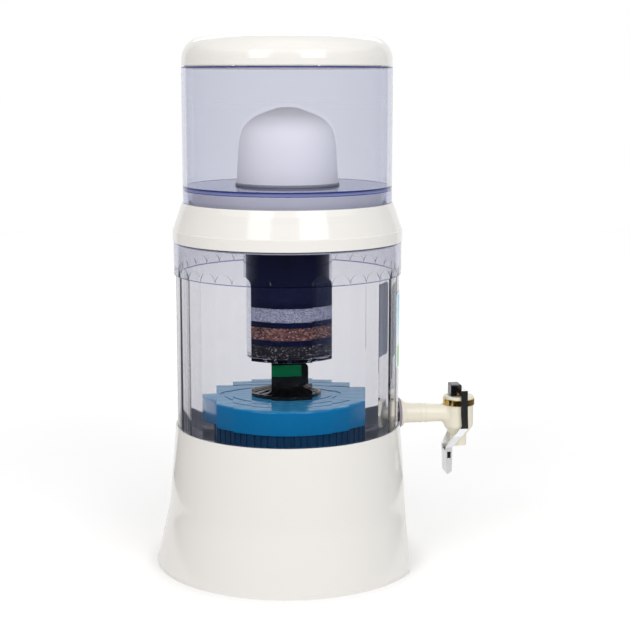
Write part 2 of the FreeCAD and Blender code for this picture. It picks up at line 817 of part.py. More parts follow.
def make_dome():
    """Hollow ceramic dome, its grey foot with a hollow stud, and the parts that clamp it."""
    foot_under = upper_floor_top + S.foot_gap
    foot_top = foot_under + S.foot_height
    dome_top = foot_top + S.dome_height
    thinner = 1 - S.dome_wall / S.dome_radius
    lower = 1 - S.dome_wall / S.dome_height
    bends = [
        (S.dome_side_radius, S.dome_side_drop, S.dome_side_rounding),
        (S.dome_shoulder_radius, S.dome_shoulder_drop, S.dome_shoulder_rounding),
        (S.dome_brow_radius, S.dome_brow_drop, S.dome_brow_rounding),
        (S.dome_crown_radius, as_size(0), S.dome_crown_rounding),
    ]
    outside = [(reach, dome_top - drop, rounding) for reach, drop, rounding in bends]
    inside = [(reach * thinner, foot_top + (S.dome_height - drop) * lower, rounding * thinner)
              for reach, drop, rounding in bends]
    dome = new_body("ceramic_dome")
    turn(dome, "dome", [
        (0, dome_top),
        *reversed(outside),
        (S.dome_radius, foot_top),
        (S.dome_radius - S.dome_wall, foot_top),
        *inside,
        (0, dome_top - S.dome_wall),
    ])
    keep(dome)

    washer_recess = S.washer_thickness - S.foot_gap
    recess_radius = S.washer_radius + S.washer_recess_gap
    washer_bore = S.stud_radius + S.washer_bore_gap
    foot = new_body("dome_foot")
    turn(foot, "foot", [
        (S.stud_bore_radius, foot_under + S.foot_height),
        (S.stud_bore_radius, foot_under - S.stud_drop),
        (S.stud_radius, foot_under - S.stud_drop),
        (S.stud_radius, foot_under + washer_recess),
        (recess_radius, foot_under + washer_recess),
        (recess_radius, foot_under),
        (S.foot_radius, foot_under),
        (S.foot_radius, foot_top - S.foot_chamfer),
        (S.foot_radius - S.foot_chamfer, foot_top),
    ])
    keep(foot)

    upper_washer = new_body("dome_washer", up=upper_floor_top)
    turn(upper_washer, "washer",
         ring_corners(washer_bore, S.washer_radius, 0, S.washer_thickness))
    keep(upper_washer)

    lower_washer = new_body("outlet_washer", up=upper_floor_under - S.washer_thickness)
    turn(lower_washer, "washer",
         ring_corners(washer_bore, S.nut_radius, 0, S.washer_thickness))
    keep(lower_washer)

    nut = new_body("lock_nut", up=upper_floor_under - S.washer_thickness - S.nut_height)
    corners = [(S.nut_radius * cosine(60 * n), S.nut_radius * sine(60 * n)) for n in range(6)]
    slab(nut, "hexagon", "XY_Plane", corners, S.nut_height)
    disc(nut, "thread", "XY_Plane", S.stud_radius + S.thread_gap, S.nut_height * 2,
         cut=True, flip=True)
    keep(nut)


def cartridge_levels():
    """The heights in the cartridge, from its base up to its cap."""
    base_top = cartridge_bottom + S.cartridge_base_height
    mineral_top = base_top + S.mineral_depth
    zeolite_bottom = mineral_top + S.divider_thickness
    zeolite_top = zeolite_bottom + S.zeolite_depth
    silica_bottom = zeolite_top + S.divider_thickness
    silica_top = silica_bottom + S.silica_depth
    carbon_bottom = silica_top + S.divider_thickness
    web_under = upper_floor_under - S.cap_web_drop - S.cap_web_thickness
    housing_top = web_under - S.cartridge_seal_height
    return SimpleNamespace(
        base_top=base_top, mineral_top=mineral_top, zeolite_bottom=zeolite_bottom,
        zeolite_top=zeolite_top, silica_bottom=silica_bottom, silica_top=silica_top,
        carbon_bottom=carbon_bottom, web_under=web_under, housing_top=housing_top,
        carbon_top=housing_top - S.carbon_top_gap)


def make_cartridge():
    """Clear canister with stacked beds, a slotted base and a cap that screws on the stud."""
    at = cartridge_levels()
    flange_under = upper_floor_under - S.cap_flange_thickness
    skirt_level = upper_floor_under - S.cap_skirt_drop
    web_top = upper_floor_under - S.cap_web_drop
    skirt_inner = S.cartridge_radius + S.tank_seat_gap
    thread = S.stud_radius + S.thread_gap
    inner_plate = S.cap_web_thickness * S.cap_plate_share
    cap = new_body("cartridge_cap")
    turn(cap, "cap", [
        (thread, at.web_under - S.cap_web_thickness),
        (S.cap_socket_radius, at.web_under - S.cap_web_thickness),
        (S.cap_socket_radius, at.web_under),
        (skirt_inner, at.web_under),
        (skirt_inner, skirt_level),
        (S.cap_skirt_radius, skirt_level),
        (S.cap_skirt_radius, flange_under),
        (S.cap_flange_radius, flange_under),
        (S.cap_flange_radius, upper_floor_under),
        (S.cap_nut_well_radius, upper_floor_under),
        (S.cap_nut_well_radius, upper_floor_under - inner_plate),
        (skirt_inner, upper_floor_under - inner_plate),
        (skirt_inner, web_top),
        (thread, web_top),
    ])
    keep(cap)

    seal = new_body("cartridge_seal", up=at.housing_top)
    seal_inner = S.cartridge_radius - S.cartridge_wall * S.cartridge_seal_share
    turn(seal, "ring",
         ring_corners(seal_inner, S.cartridge_radius, 0, S.cartridge_seal_height))
    keep(seal)

    bore = S.cartridge_radius - S.cartridge_wall
    housing = new_body("cartridge_housing")
    turn(housing, "tube", ring_corners(bore, S.cartridge_radius, at.base_top, at.housing_top))
    keep(housing)

    base = new_body("cartridge_base")
    rim = S.cartridge_wall
    turn(base, "cup", [
        (0, cartridge_bottom),
        (S.cartridge_radius, cartridge_bottom, S.cartridge_base_rounding),
        (S.cartridge_radius, at.base_top),
        (bore, at.base_top),
        (bore, at.base_top - rim),
        (0, at.base_top - rim),
    ])
    slot = slab(base, "slot", "XY_Plane",
                box_corners(S.cartridge_radius * S.grille_inner_share,
                            S.cartridge_radius * S.grille_outer_share,
                            -S.grille_slot_width / 2, S.grille_slot_width / 2),
                S.cartridge_base_height, shift=at.base_top, cut=True)
    repeat_round(base, "grille", slot, S.grille_slots)
    keep(base)

    rest = at.base_top - rim
    beds = [
        ("mineral_bed", rest, at.mineral_top),
        ("divider_lower", at.mineral_top, at.zeolite_bottom),
        ("zeolite_bed", at.zeolite_bottom, at.zeolite_top),
        ("divider_middle", at.zeolite_top, at.silica_bottom),
        ("silica_bed", at.silica_bottom, at.silica_top),
        ("divider_upper", at.silica_top, at.carbon_bottom),
        ("carbon_block", at.carbon_bottom, at.carbon_top),
    ]
    for label, bottom, top in beds:
        bed = new_body(label, up=bottom)
        radius = bore - S.divider_gap if label.startswith("divider") else S.media_radius
        disc(bed, "bed", "XY_Plane", radius, top - bottom)
        keep(bed)


def make_dish():
    """Mineral disk: ribbed base, blue cover, its fill, and a hub with a finger knob."""
    base = new_body("dish_base", up=lower_floor_top)
    base_radius = S.dish_radius - S.dish_base_inset
    disc(base, "base", "XY_Plane", base_radius, S.dish_base_height)
    groove = slab(base, "groove", "XY_Plane",
                  box_corners(base_radius - S.dish_rib_depth,
                              base_radius + S.dish_rib_depth,
                              -S.dish_rib_width / 2, S.dish_rib_width / 2),
                  S.dish_base_height, cut=True, flip=True)
    repeat_round(base, "grooves", groove, S.dish_rib_count)
    keep(base)

    cover_level = lower_floor_top + S.dish_base_height
    cover = new_body("dish_cover", up=cover_level)
    inner = S.dish_radius - S.dish_wall
    inner_top = S.dish_cover_height - S.dish_wall
    turn(cover, "cover", [
        (0, S.dish_cover_height),
        (S.dish_radius, S.dish_cover_height, S.dish_edge_rounding),
        (S.dish_radius, 0),
        (inner, 0),
        (inner, inner_top),
        (0, inner_top),
    ])
    for number in range(3):
        share = S.dish_groove_first_share + S.dish_groove_share_step * number
        middle = S.dish_radius * share
        turn(cover, f"ring_groove_{number + 1}", ring_corners(
            middle - S.dish_groove_width / 2, middle + S.dish_groove_width / 2,
            S.dish_cover_height - S.dish_groove_depth,
            S.dish_cover_height + S.cutter_overrun), cut=True)
    keep(cover)

    fill = new_body("mineral_fill", up=cover_level)
    disc(fill, "fill", "XY_Plane", inner - S.dish_fill_gap, inner_top - S.dish_fill_gap)
    keep(fill)

    hub_level = cover_level + S.dish_cover_height
    hub = new_body("dish_hub", up=hub_level)
    turn(hub, "cone", [
        (0, 0),
        (S.hub_radius, 0),
        (S.hub_radius, S.hub_edge_height),
        (S.hub_boss_radius, S.hub_height),
        (0, S.hub_height),
    ])
    rib = slab(hub, "slot", "XY_Plane",
               box_corners(S.hub_boss_radius + S.hub_rib_inner_gap,
                           S.hub_radius - S.hub_rib_outer_gap,
                           -S.hub_rib_width / 2, S.hub_rib_width / 2),
               S.hub_height - S.hub_edge_height + S.hub_rib_depth,
               shift=S.hub_height, cut=True)
    repeat_round(hub, "slots", rib, S.hub_rib_count)
    keep(hub)

    knob = new_body("hub_knob", up=hub_level + S.hub_height)
    half = S.knob_half_length
    slab(knob, "fin", "XZ_Plane", [
        (-half, 0),
        (half, 0),
        (half, S.knob_height, S.knob_corner_rounding),
        (-half, S.knob_height, S.knob_toe_rounding),
    ], S.knob_half_width * 2, both_ways=True)
    window = box_corners(-half + S.knob_frame, half - S.knob_frame,
                         S.knob_height * S.knob_window_share, S.knob_height - S.knob_frame)
    slab(knob, "window", "XZ_Plane", window, S.knob_half_width * 4, cut=True, both_ways=True)
    keep(knob)

    lens = new_body("hub_lens", up=hub_level + S.hub_height)
    slab(lens, "lens", "XZ_Plane", window, (S.knob_half_width - S.knob_lens_inset) * 2,
         both_ways=True)
    keep(lens)


def make_tap_body():
    """Cream tap body: shank, flange, ribbed pipe, valve chamber and spout in one moulding."""
    body = new_body("tap_body", across=tap_x, up=tap_z)
    turn(body, "chamber_and_spout", [
        (0, S.spout_tip),
        (S.spout_radius, S.spout_tip),
        (S.spout_radius, S.spout_tip + S.spout_length, S.spout_rounding),
        (S.tap_body_radius, S.tap_body_bottom, S.tap_body_rounding),
        (S.tap_body_radius, S.tap_body_top),
        (0, S.tap_body_top),
    ])
    flange_back = flange_back_x - tap_x
    flange_front = flange_back + S.tap_flange_thickness
    turn(body, "shank_and_flange", [
        (tap_shank_end - tap_x, 0),
        (flange_front + S.tap_flange_thickness, 0),
        (flange_front + S.tap_flange_thickness, S.tap_pipe_root_radius),
        (flange_front, S.tap_pipe_root_radius + S.tap_flange_root_rise),
        (flange_front, S.tap_flange_radius, S.tap_flange_rounding),
        (flange_back, S.tap_flange_radius),
        (flange_back, S.tap_shank_radius),
        (tap_shank_end - tap_x, S.tap_shank_radius),
    ], about="H_Axis")
    root = new_sketch(body, "pipe_root", "YZ_Plane", flange_front)
    draw_circle(root, S.tap_pipe_root_radius)
    end = new_sketch(body, "pipe_end", "YZ_Plane", -S.tap_chamber_radius)
    draw_circle(end, S.tap_pipe_end_radius, 0.0, -S.tap_pipe_drop)
    pipe = body.newObject("PartDesign::AdditiveLoft", "pipe")
    pipe.Profile = root
    pipe.Sections = [end]
    pipe.Ruled = True

    body_back = -S.tap_body_radius.value

    def is_pipe_root(edge):
        box = edge.BoundBox
        wide = box.YLength > S.tap_pipe_end_radius.value and box.ZLength > box.YLength / 2
        return wide and box.XMin > body_back - 1 and box.XMax < body_back / 2

    soften(body, "pipe_blend", S.tap_pipe_blend, is_pipe_root)
    turn(body, "ring_seat",
         ring_corners(S.tap_body_radius, S.tap_body_radius + S.tap_pipe_blend * 2,
                      S.tap_body_top - S.bonnet_ring_height,
                      S.tap_body_top + S.cutter_overrun), cut=True)
    for number in range(2):
        start = flange_front + S.tap_pipe_rib_start + S.tap_pipe_rib_pitch * number
        share = (start - flange_front) / (-S.tap_chamber_radius - flange_front)
        slimmer = (S.tap_pipe_root_radius - S.tap_pipe_end_radius) * share
        disc(body, f"pipe_rib_{number + 1}", "YZ_Plane",
             S.tap_pipe_root_radius - slimmer + S.tap_pipe_rib_proud, S.tap_pipe_rib_width,
             shift=start, up=-S.tap_pipe_drop * share)
    turn(body, "valve_chamber", [
        (0, S.tap_seat_level),
        (S.tap_chamber_radius, S.tap_seat_level),
        (S.tap_chamber_radius, S.tap_body_top + S.cutter_overrun),
        (0, S.tap_body_top + S.cutter_overrun),
    ], cut=True)
    turn(body, "outlet",
         ring_corners(0, S.spout_bore_radius, S.spout_tip - S.cutter_overrun,
                      S.tap_seat_level + S.cutter_overrun), cut=True)
    turn(body, "inlet",
         ring_corners(tap_shank_end - tap_x - S.cutter_overrun, 0, 0, S.tap_bore_radius),
         about="H_Axis", cut=True)
    keep(body)


def make_tap_wall_parts():
    """Gaskets on both sides of the tank wall and the nut that clamps the tap to it."""
    hole = S.tap_shank_radius + S.tap_shank_gap
    outer = new_body("tap_gasket_outer", across=boss_outer_x, up=tap_z)
    turn(outer, "gasket", ring_corners(0, S.tap_gasket_thickness, hole, S.tap_gasket_radius),
         about="H_Axis")
    keep(outer)

    inner = new_body("tap_gasket_inner", across=tap_nut_x + S.tap_nut_length, up=tap_z)
    turn(inner, "gasket", ring_corners(0, S.tap_gasket_thickness, hole, S.tap_gasket_radius),
         about="H_Axis")
    keep(inner)

    nut = new_body("tap_nut", across=tap_nut_x, up=tap_z)
    corners = [(S.tap_gasket_radius * cosine(60 * n), S.tap_gasket_radius * sine(60 * n))
               for n in range(6)]
    slab(nut, "hexagon", "YZ_Plane", corners, S.tap_nut_length)
    disc(nut, "thread", "YZ_Plane", S.tap_shank_radius + S.thread_gap, S.tap_nut_length * 2,
         cut=True, flip=True)
    keep(nut)


def make_tap_bonnet():
    """Cream cap that closes the valve chamber, and the brass ring round the body's top."""
    bonnet = new_body("tap_bonnet", across=tap_x, up=tap_z + S.tap_body_top)
    bore = S.stem_radius + S.stem_running_gap
    plug = S.tap_chamber_radius - S.bonnet_plug_gap
    turn(bonnet, "bonnet", [
        (bore, -S.bonnet_plug_depth),
        (plug, -S.bonnet_plug_depth),
        (plug, 0),
        (S.bonnet_radius, 0),
        (S.bonnet_radius, S.bonnet_height, S.bonnet_rounding),
        (bore, S.bonnet_height),
    ])
    keep(bonnet)

    ring = new_body("bonnet_ring", across=tap_x,
                    up=tap_z + S.tap_body_top - S.bonnet_ring_height)
    ring_bore = S.tap_body_radius + S.bonnet_ring_gap
    turn(ring, "ring", [
        (ring_bore, 0),
        (S.bonnet_ring_radius, 0, S.bonnet_ring_rounding),
        (S.bonnet_ring_radius, S.bonnet_ring_height, S.bonnet_ring_rounding),
        (ring_bore, S.bonnet_ring_height),
    ])
    keep(ring)


def make_valve():
    """Stem with its eye, the rubber seal under it and the spring that closes it."""
    seat = S.tap_seat_level + S.seal_seat_gap
    flange_level = seat + S.seal_thickness
    neck_top = S.block_bottom
    stem = new_body("valve_stem", across=tap_x, up=tap_z)
    turn(stem, "stem", [
        (0, flange_level),
        (S.stem_flange_radius, flange_level),
        (S.stem_flange_radius, flange_level + S.stem_flange_height),
        (S.stem_radius, flange_level + S.stem_flange_height),
        (S.stem_radius, neck_top),
        (0, neck_top),
    ])
    eye_left = S.pin_offset - S.eye_radius
    eye_right = S.pin_offset + S.eye_radius
    eye_top = S.pin_level + S.eye_radius
    slab(stem, "eye", "XZ_Plane", [
        (eye_left, neck_top - S.eye_overlap),
        (eye_right, neck_top - S.eye_overlap),
        (eye_right, eye_top, S.eye_radius * S.round_end_share),
        (eye_left, eye_top, S.eye_radius * S.round_end_share),
    ], S.eye_half_width * 2, both_ways=True)
    disc(stem, "pin_hole", "XZ_Plane", S.pin_radius + S.stem_running_gap,
         S.eye_half_width * 4, across=S.pin_offset, up=S.pin_level, cut=True, both_ways=True)
    keep(stem)

    seal = new_body("valve_seal", across=tap_x, up=tap_z + seat)
    disc(seal, "seal", "XY_Plane", S.seal_radius, S.seal_thickness)
    keep(seal)

    spring_bottom = flange_level + S.stem_flange_height + S.spring_end_gap
    spring_top = S.tap_body_top - S.bonnet_plug_depth - S.spring_end_gap
    wire = S.spring_wire_radius
    spring = new_body("valve_spring", across=tap_x, up=tap_z)
    section = new_sketch(spring, "wire_section", "XZ_Plane")
    draw_circle(section, wire, S.spring_mean_radius, spring_bottom + wire)
    coil = spring.newObject("PartDesign::AdditiveHelix", "coil")
    coil.Profile = section
    coil.ReferenceAxis = (section, ["V_Axis"])
    coil.Mode = "height-turns-angle"
    bind(coil, "Height", spring_top - spring_bottom - wire * 2)
    bind(coil, "Turns", S.spring_turns)
    keep(spring)


def make_lever():
    """Black head block on the stem's pin, and the chrome lever with its black insert."""
    block = new_body("lever_block", across=tap_x, up=tap_z)
    slab(block, "block", "XZ_Plane",
         box_corners(S.block_back, S.block_front, S.block_bottom, S.block_top),
         S.block_half_width * 2, both_ways=True)
    top = S.block_top.value
    back = S.block_back.value

    def is_upper_or_back(edge):
        box = edge.BoundBox
        on_top = box.ZLength < 0.01 and abs(box.ZMax - top) < 0.01
        on_back = box.XLength < 0.01 and abs(box.XMax - back) < 0.01
        return on_top or on_back

    soften(block, "soft_edges", S.block_rounding, is_upper_or_back)
    slab(block, "stem_slot", "XZ_Plane",
         box_corners(S.block_slot_back, S.block_front + S.cutter_overrun,
                     S.block_bottom - S.cutter_overrun, S.block_slot_top),
         (S.eye_half_width + S.block_gap) * 2, cut=True, both_ways=True)
    disc(block, "pin_hole", "XZ_Plane", S.pin_radius, S.block_half_width * 4,
         across=S.pin_offset, up=S.pin_level, cut=True, both_ways=True)
    keep(block)

    pin = new_body("lever_pin", across=tap_x, up=tap_z)
    disc(pin, "shank", "XZ_Plane", S.pin_radius, S.block_half_width * 2,
         across=S.pin_offset, up=S.pin_level, both_ways=True)
    disc(pin, "head", "XZ_Plane", S.pin_head_radius, S.pin_head_height,
         shift=S.block_half_width, across=S.pin_offset, up=S.pin_level)
    keep(pin)

    lever = new_body("lever", across=tap_x, up=tap_z)
    arm_inner = S.bonnet_ring_radius + S.lever_arm_gap
    arm_outer = arm_inner + S.lever_arm_thickness
    left = S.lever_arm_back
    right = left + S.lever_arm_width
    elbow = left + S.lever_elbow_shift
    knee = left + S.lever_knee_shift
    tip = knee + S.lever_handle_width
    rounding = S.lever_rounding
    slab(lever, "arms", "XZ_Plane", [
        (left, S.lever_top),
        (left, 0),
        (elbow, S.lever_elbow_level + S.lever_elbow_rise, rounding),
        (knee, S.lever_knee_level, rounding),
        (tip - S.lever_tip_width, S.lever_tip_level, S.lever_tip_rounding),
        (tip, S.lever_tip_level + S.lever_tip_rise, S.lever_tip_rounding),
        (tip, S.lever_knee_level - S.lever_knee_rise, rounding),
        (right + S.lever_elbow_shift, S.lever_elbow_level, rounding),
        (right + S.lever_arm_spread, 0),
        (right, S.lever_top),
    ], arm_outer * 2, both_ways=True)

    bar_under = S.lever_top - S.lever_bar_height
    handle_inner = S.lever_handle_half - S.lever_arm_thickness
    slab(lever, "gap_between_arms", "YZ_Plane", [
        (-arm_inner, bar_under),
        (-arm_inner, S.lever_elbow_level),
        (-handle_inner, S.lever_knee_level),
        (-handle_inner, S.lever_handle_top),
        (handle_inner, S.lever_handle_top),
        (handle_inner, S.lever_knee_level),
        (arm_inner, S.lever_elbow_level),
        (arm_inner, bar_under),
    ], S.tap_body_radius * 4, cut=True, both_ways=True)
    for name, side in (("near_flank", -1), ("far_flank", 1)):
        beyond = (arm_outer + S.cutter_overrun) * side
        slab(lever, name, "YZ_Plane", [
            (beyond, S.lever_elbow_level),
            (arm_outer * side, S.lever_elbow_level),
            (S.lever_handle_half * side, S.lever_knee_level),
            (S.lever_handle_half * side, S.lever_tip_level - S.cutter_overrun),
            (beyond, S.lever_tip_level - S.cutter_overrun),
        ], S.tap_body_radius * 4, cut=True, both_ways=True)
    slab(lever, "block_seat", "XZ_Plane",
         box_corners(left - S.cutter_overrun, S.block_front, bar_under - S.cutter_overrun,
                     S.lever_top + S.cutter_overrun),
         (S.block_half_width + S.block_seat_gap) * 2, cut=True, both_ways=True)
    window_left = knee + (S.lever_handle_width - S.lever_window_width) / 2
    window_top = S.lever_knee_level - S.lever_window_drop
    window = box_corners(window_left, window_left + S.lever_window_width,
                         window_top - S.lever_window_height, window_top)
    slab(lever, "side_windows", "XZ_Plane", window, arm_outer * 4, cut=True, both_ways=True)
    keep(lever)

    insert = new_body("lever_insert", across=tap_x, up=tap_z)
    slab(insert, "insert", "XZ_Plane", window,
         (S.lever_handle_half - S.lever_insert_inset) * 2, both_ways=True)
    keep(insert)


make_stand()
make_lower_tank()
make_front_label()
make_collar()
make_support_ring()
make_upper_tank()
make_lid()
make_dome()
make_cartridge()
make_dish()
make_tap_body()
make_tap_wall_parts()
make_tap_bonnet()
make_valve()
make_lever()
doc.recompute()

# Every object has to be sound before anything is written
for item in doc.Objects:
    if "Invalid" in item.State or "Error" in item.State:
        raise RuntimeError(f"{item.Label} did not build: {item.State}")
for piece in kept:
    if piece.Shape.isNull() or not piece.Shape.isValid():
        raise RuntimeError(f"{piece.Label} has no valid shape")

os.makedirs("parts", exist_ok=True)
for piece in kept:
    piece.Shape.exportStep(f"parts/{piece.Label}.step")
    box = piece.Shape.BoundBox
    print(f"{piece.Label:20s} solids {len(piece.Shape.Solids)} volume {piece.Shape.Volume:10.1f} "
          f"x {box.XMin:7.1f} {box.XMax:7.1f} z {box.ZMin:7.1f} {box.ZMax:7.1f}")
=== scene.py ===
import math

import bpy
import numpy as np
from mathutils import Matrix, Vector


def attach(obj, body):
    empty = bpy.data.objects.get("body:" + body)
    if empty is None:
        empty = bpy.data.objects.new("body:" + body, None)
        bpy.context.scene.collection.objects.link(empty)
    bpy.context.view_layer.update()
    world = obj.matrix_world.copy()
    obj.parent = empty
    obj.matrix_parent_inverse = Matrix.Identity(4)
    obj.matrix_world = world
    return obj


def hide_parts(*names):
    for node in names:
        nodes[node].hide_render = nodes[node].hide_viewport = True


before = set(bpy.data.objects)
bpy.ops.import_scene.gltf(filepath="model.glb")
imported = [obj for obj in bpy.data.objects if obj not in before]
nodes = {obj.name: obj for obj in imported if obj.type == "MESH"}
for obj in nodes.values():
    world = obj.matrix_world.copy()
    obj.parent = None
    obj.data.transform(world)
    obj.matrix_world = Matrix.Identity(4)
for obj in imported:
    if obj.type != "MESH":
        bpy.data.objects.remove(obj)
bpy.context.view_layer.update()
MM = 0.001


# Camera at the photograph's angle

PHOTO_TURN = math.radians(8.0)
CAMERA_TILT = math.radians(9.27)
CAMERA_DISTANCE = 1.618
CAMERA_ASIDE = 0.0305
CAMERA_HEIGHT = 0.5445
LENS_MM = 83.38

ahead = Vector((math.sin(PHOTO_TURN), math.cos(PHOTO_TURN), 0))
aside = Vector((math.cos(PHOTO_TURN), -math.sin(PHOTO_TURN), 0))


def place_camera():
    """The photograph's camera."""
    data = bpy.data.cameras.new("camera")
    data.lens = LENS_MM
    camera = bpy.data.objects.new("camera", data)
    camera.location = -ahead * CAMERA_DISTANCE + aside * CAMERA_ASIDE
    camera.location.z = CAMERA_HEIGHT
    camera.rotation_euler = (math.pi / 2 - CAMERA_TILT, 0, -PHOTO_TURN)
    bpy.context.scene.collection.objects.link(camera)
    bpy.context.scene.camera = camera


# Node-tree helpers

class Tree:
    """A material's nodes, made one by one with their inputs given by name."""

    def __init__(self, name):
        self.material = bpy.data.materials.new(name)
        self.material.use_nodes = True
        self.nodes = self.material.node_tree.nodes
        self.links = self.material.node_tree.links
        self.nodes.clear()
        self.output = self.nodes.new("ShaderNodeOutputMaterial")

    def add(self, kind, inputs=None, **settings):
        node = self.nodes.new("ShaderNode" + kind)
        for key, value in settings.items():
            setattr(node, key, value)
        for key, value in (inputs or {}).items():
            self.feed(node.inputs[key], value)
        return node

    def feed(self, socket, value):
        if isinstance(value, bpy.types.NodeSocket):
            self.links.new(value, socket)
        else:
            socket.default_value = value

    def noise(self, scale, detail=2.0, vector=None, roughness=0.5):
        node = self.add("TexNoise", {"Scale": scale, "Detail": detail, "Roughness": roughness})
        self.links.new(vector or self.place(), node.inputs["Vector"])
        return node.outputs["Fac"]

    def place(self, stretch=None):
        """The point in object space, stretched where asked."""
        spot = self.add("TexCoord").outputs["Object"]
        if stretch is None:
            return spot
        return self.add("VectorMath", {0: spot, 1: stretch}, operation="MULTIPLY").outputs[0]

    def spread(self, value, low, high, start=0.0, end=1.0):
        """A value between start and end turned into one between low and high."""
        node = self.add("MapRange", {"Value": value, "From Min": start, "From Max": end,
                                     "To Min": low, "To Max": high})
        return node.outputs["Result"]

    def mix(self, share, first, second):
        node = self.add("Mix", {"Factor": share}, data_type="RGBA")
        self.feed(node.inputs[6], first)
        self.feed(node.inputs[7], second)
        return node.outputs[2]

    def math(self, operation, first, second=0.0):
        return self.add("Math", {0: first, 1: second}, operation=operation).outputs[0]

    def ramp(self, value, stops):
        node = self.add("ValToRGB", {"Fac": value})
        items = node.color_ramp.elements
        while len(items) < len(stops):
            items.new(0.5)
        for item, (place, colour) in zip(items, stops):
            item.position = place
            item.color = colour
        return node.outputs["Color"]

    def bump(self, height, strength, distance):
        node = self.add("Bump", {"Height": height, "Strength": strength, "Distance": distance})
        return node.outputs["Normal"]

    def show(self, shader, volume=None):
        self.links.new(shader, self.output.inputs["Surface"])
        if volume is not None:
            self.links.new(volume, self.output.inputs["Volume"])
        return self.material


SHADOW_TINT = (0.99, 0.99, 0.995, 1.0)
ACRYLIC_IOR = 1.49


def rgb(red, green, blue):
    """A colour written as it shows on screen, 0 to 255, as linear light."""
    def linear(part):
        part = part / 255
        return part / 12.92 if part <= 0.04045 else ((part + 0.055) / 1.055) ** 2.4
    return (linear(red), linear(green), linear(blue), 1.0)


def moulded(name, colour, roughness=0.3, grain=900.0, vary=0.03, depth=0.00002, **sockets):
    """Moulded plastic: a faint cloudiness, a fine skin and uneven gloss."""
    tree = Tree(name)
    cloud = tree.noise(9.0, 4.0)
    darker = tuple(c * (1 - vary) for c in colour[:3]) + (1.0,)
    tint = tree.mix(tree.spread(cloud, 0.0, 1.0, 0.3, 0.7), darker, colour)
    skin = tree.noise(grain, 3.0)
    gloss = tree.spread(tree.noise(14.0, 1.0), roughness * 0.95, roughness * 1.06)
    inputs = {"Base Color": tint, "Roughness": gloss, "Normal": tree.bump(skin, 0.25, depth)}
    inputs.update(sockets)
    return tree.show(tree.add("BsdfPrincipled", inputs).outputs[0])


def clear(name, colour, absorb, density, tint_and_painted_shade_bands=()):
    """Clear tinted plastic that lets lamps and soft light through to what it holds.

    Each band has a low and a high level, the radius it starts at, a colour of its own and a share
    of cloudy body colour. Most of them are painted shade, thin dark lines at steps, rims and
    seams; one gives the upper floor a blue, cloudier body.
    """
    tree = Tree(name)
    streak = tree.noise(6.0, 3.0, tree.place((1.0, 1.0, 0.15)))
    tint = tree.mix(tree.spread(streak, 0.0, 1.0, 0.3, 0.7),
                    tuple(c * 0.985 for c in colour[:3]) + (1.0,), colour)
    height = tree.add("SeparateXYZ", {0: tree.place()}).outputs[2]
    flat = tree.place((1.0, 1.0, 0.0))
    away = tree.add("VectorMath", {0: flat}, operation="LENGTH").outputs["Value"]
    clarity = 1.0
    for low, high, start, shade, cloud in tint_and_painted_shade_bands:
        inside = tree.math("MULTIPLY", tree.math("GREATER_THAN", height, low),
                           tree.math("LESS_THAN", height, high))
        inside = tree.math("MULTIPLY", inside, tree.math("GREATER_THAN", away, start))
        tint = tree.mix(inside, tint, shade)
        clarity = tree.math("SUBTRACT", clarity, tree.math("MULTIPLY", inside, cloud))
    ripple = tree.noise(28.0, 2.0, tree.place((1.0, 1.0, 0.3)))
    glass = tree.add("BsdfPrincipled", {
        "Base Color": tint, "Roughness": 0.0, "IOR": ACRYLIC_IOR, "Transmission Weight": clarity,
        "Normal": tree.bump(ripple, 0.06, 0.0006)})
    through = tree.add("BsdfTransparent", {"Color": SHADOW_TINT})
    path = tree.add("LightPath")
    soft = tree.math("MAXIMUM", path.outputs["Is Shadow Ray"], path.outputs["Is Diffuse Ray"])
    both = tree.add("MixShader", {0: soft, 1: glass.outputs[0], 2: through.outputs[0]})
    volume = tree.add("VolumeAbsorption", {"Color": absorb, "Density": density})
    return tree.show(both.outputs[0], volume.outputs[0])


def metal(name, colour, roughness, satin_below=None):
    """Plated metal with faint polishing marks, satin below a level where one is given."""
    tree = Tree(name)
    marks = tree.noise(260.0, 3.0)
    gloss = tree.spread(marks, roughness * 0.7, roughness * 1.5, 0.3, 0.7)
    if satin_below is not None:
        height = tree.add("SeparateXYZ", {0: tree.place()}).outputs[2]
        gloss = tree.math("ADD", gloss, tree.spread(height, SATIN, 0.0, satin_below - 2 * MM,
                                                    satin_below + 2 * MM))
    inputs = {"Base Color": colour, "Metallic": 1.0, "Roughness": gloss,
              "Normal": tree.bump(marks, 0.04, 0.0001)}
    return tree.show(tree.add("BsdfPrincipled", inputs).outputs[0])


def fan_plastic(name, side, top, roughness):
    """Blue moulding whose up-facing top takes a lighter painted colour, as painted light from
    above, with a fan of shallow rays round the hub.
    """
    tree = Tree(name)
    up = tree.add("SeparateXYZ", {0: tree.add("NewGeometry").outputs["Normal"]}).outputs[2]
    axes = tree.add("SeparateXYZ", {0: tree.place()})
    turn = tree.math("ARCTAN2", axes.outputs[1], axes.outputs[0])
    rays = tree.math("SINE", tree.math("MULTIPLY", turn, 28.0))
    painted_light_top = tree.mix(tree.spread(rays, 0.0, 0.35, -1.0, 1.0), top, side)
    cloud = tree.mix(tree.spread(tree.noise(9.0, 4.0), 0.0, 0.12, 0.3, 0.7), side,
                     tuple(c * 0.7 for c in side[:3]) + (1.0,))
    # Painted light: faces that look up take the lighter top colour, as if lit from above.
    tint = tree.mix(tree.spread(up, 0.0, 1.0, 0.6, 0.9), cloud, painted_light_top)
    skin = tree.bump(tree.math("ADD", rays, tree.noise(900.0, 3.0)), 0.2, 0.00005)
    gloss = tree.spread(tree.noise(14.0, 1.0), roughness * 0.9, roughness * 1.2)
    return tree.show(tree.add("BsdfPrincipled", {
        "Base Color": tint, "Roughness": gloss, "Normal": skin}).outputs[0])


